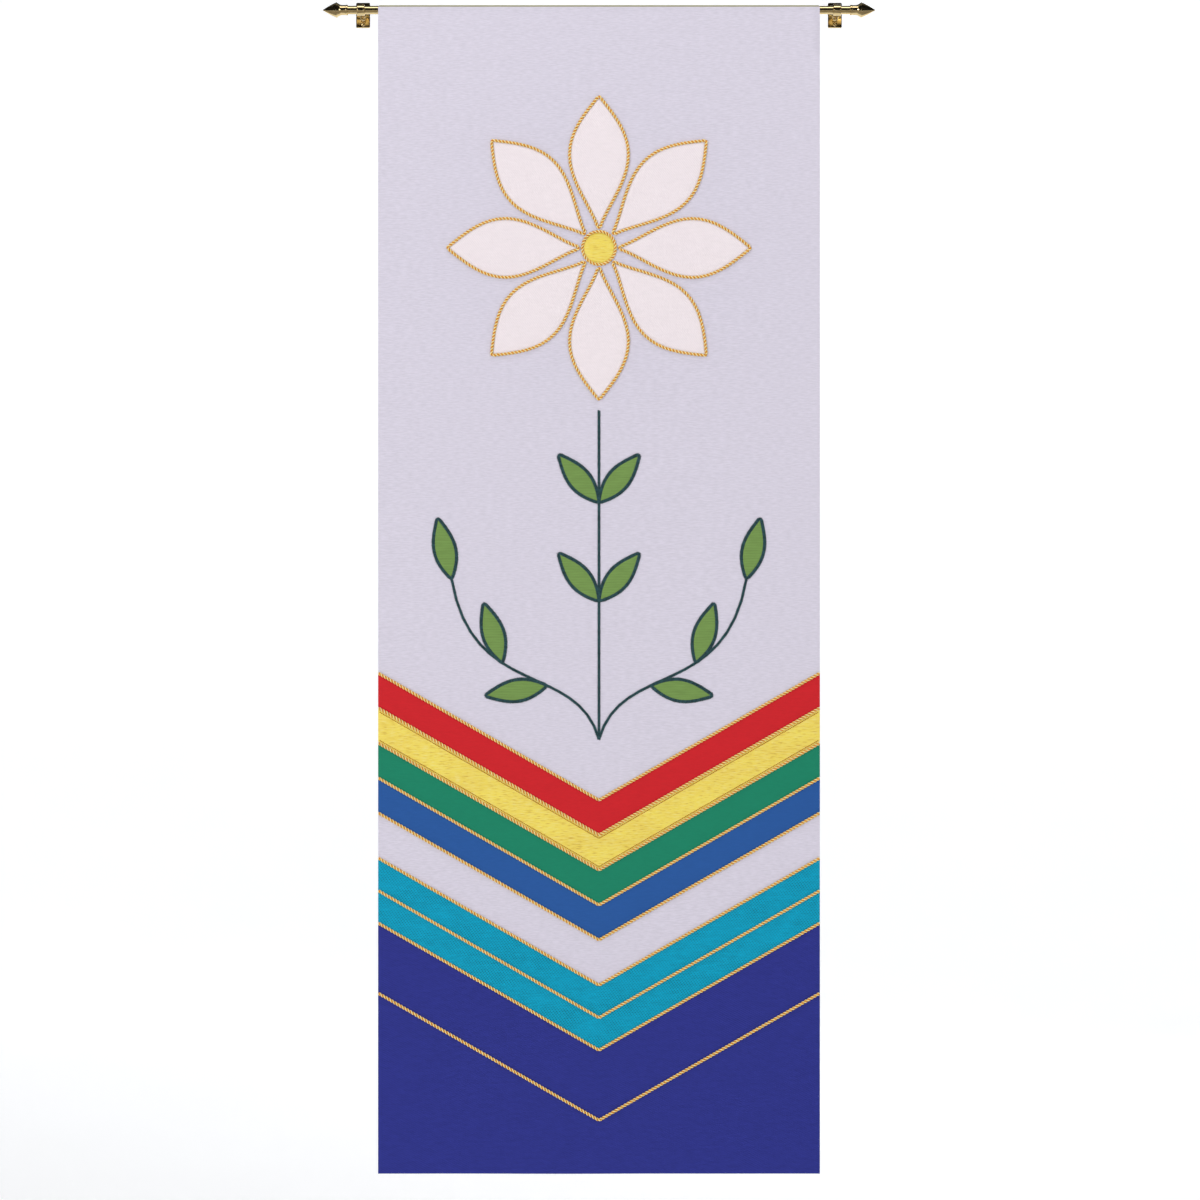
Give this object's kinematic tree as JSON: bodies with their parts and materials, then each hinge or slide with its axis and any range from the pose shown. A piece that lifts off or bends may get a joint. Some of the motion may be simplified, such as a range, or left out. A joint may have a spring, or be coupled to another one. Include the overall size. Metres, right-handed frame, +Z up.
{
  "type": "banner on a rod",
  "caption": "Flat hung cloth banner with sewn-on rosette, leaf sprays and pointed bands edged in gold cord, on a brass rod with spear finials held by wall brackets.",
  "frame": {"origin": "on the wall plane, midway between the two wall brackets, at the height of the rod's axis", "axes": "+X to the viewer's right along the rod, +Y into the wall, so the banner's front faces -Y, +Z up"},
  "size_m": [0.752, 0.0483, 1.5992],
  "materials": {
    "polished_brass": "polished and lacquered",
    "lavender_cloth": "fine slubbed plain weave",
    "khaki_lining": "plain lining weave",
    "white_twill": "fine twill",
    "gold_lame": "metallic streaky weave",
    "gold_cord": "twisted metallic thread, couched",
    "leaf_green_cloth": "fine ribbed weave",
    "dark_green_satin": "close satin stitch",
    "red_cloth": "smooth plain weave",
    "green_cloth": "smooth plain weave",
    "blue_cloth": "smooth plain weave",
    "teal_cloth": "two-colour basket weave",
    "royal_cloth": "fine rib weave"
  },
  "bodies": {
    "root": {"ground_panel": "lavender_cloth", "rod_sleeve": "khaki_lining", "petal_1": "white_twill", "petal_2": "white_twill", "petal_3": "white_twill", "petal_4": "white_twill", "petal_5": "white_twill", "petal_6": "white_twill", "petal_7": "white_twill", "petal_8": "white_twill", "petal_cord_1": "gold_cord", "petal_cord_2": "gold_cord", "petal_cord_3": "gold_cord", "petal_cord_4": "gold_cord", "petal_cord_5": "gold_cord", "petal_cord_6": "gold_cord", "petal_cord_7": "gold_cord", "petal_cord_8": "gold_cord", "rosette_centre": "gold_lame", "centre_cord": "gold_cord", "leaf_1": "leaf_green_cloth", "leaf_2": "leaf_green_cloth", "leaf_3": "leaf_green_cloth", "leaf_4": "leaf_green_cloth", "leaf_5": "leaf_green_cloth", "leaf_6": "leaf_green_cloth", "leaf_7": "leaf_green_cloth", "leaf_8": "leaf_green_cloth", "leaf_9": "leaf_green_cloth", "leaf_10": "leaf_green_cloth", "stem_outline": "dark_green_satin", "band_red": "red_cloth", "band_gold": "gold_lame", "band_green": "green_cloth", "band_blue": "blue_cloth", "chevron_teal": "teal_cloth", "field_royal": "royal_cloth", "cord_above_red": "gold_cord", "cord_above_gold": "gold_cord", "cord_above_green": "gold_cord", "cord_above_blue": "gold_cord", "cord_below_blue": "gold_cord", "cord_above_teal": "gold_cord", "cord_on_teal": "gold_cord", "cord_above_royal": "gold_cord", "cord_on_royal": "gold_cord", "rod": "polished_brass", "finial_left": "polished_brass", "finial_right": "polished_brass", "bracket_plate_left": "polished_brass", "bracket_plate_right": "polished_brass", "bracket_arm_left": "polished_brass", "bracket_arm_right": "polished_brass", "set_screw_left": "polished_brass", "set_screw_right": "polished_brass", "upper_screw_left": "polished_brass", "upper_screw_right": "polished_brass", "lower_screw_left": "polished_brass", "lower_screw_right": "polished_brass"}
  },
  "joints": []
}
